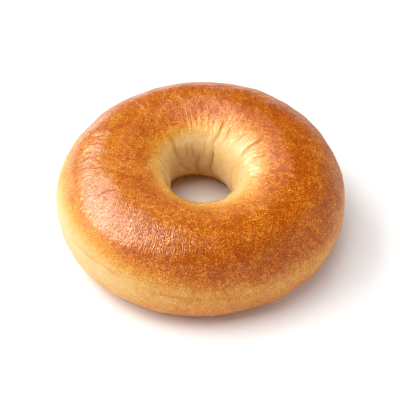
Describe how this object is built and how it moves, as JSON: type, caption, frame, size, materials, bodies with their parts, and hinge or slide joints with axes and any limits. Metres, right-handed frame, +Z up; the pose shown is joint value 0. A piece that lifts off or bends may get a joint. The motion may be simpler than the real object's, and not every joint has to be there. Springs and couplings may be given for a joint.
{
  "type": "bagel",
  "caption": "Plain baked bagel: a closed ring of dough with a rounded browned top, a pale side, an oval hole and a flat underside.",
  "frame": {"origin": "on the surface the bagel lies on, under the middle of its outline", "axes": "+Z up through the hole, from the flat underside to the rounded top; +X and +Y across the ring, +Y along the hole's long way"},
  "size_m": [0.1106, 0.1094, 0.0377],
  "materials": {
    "crust": "satin"
  },
  "bodies": {
    "root": {"bagel": "crust"}
  },
  "joints": []
}
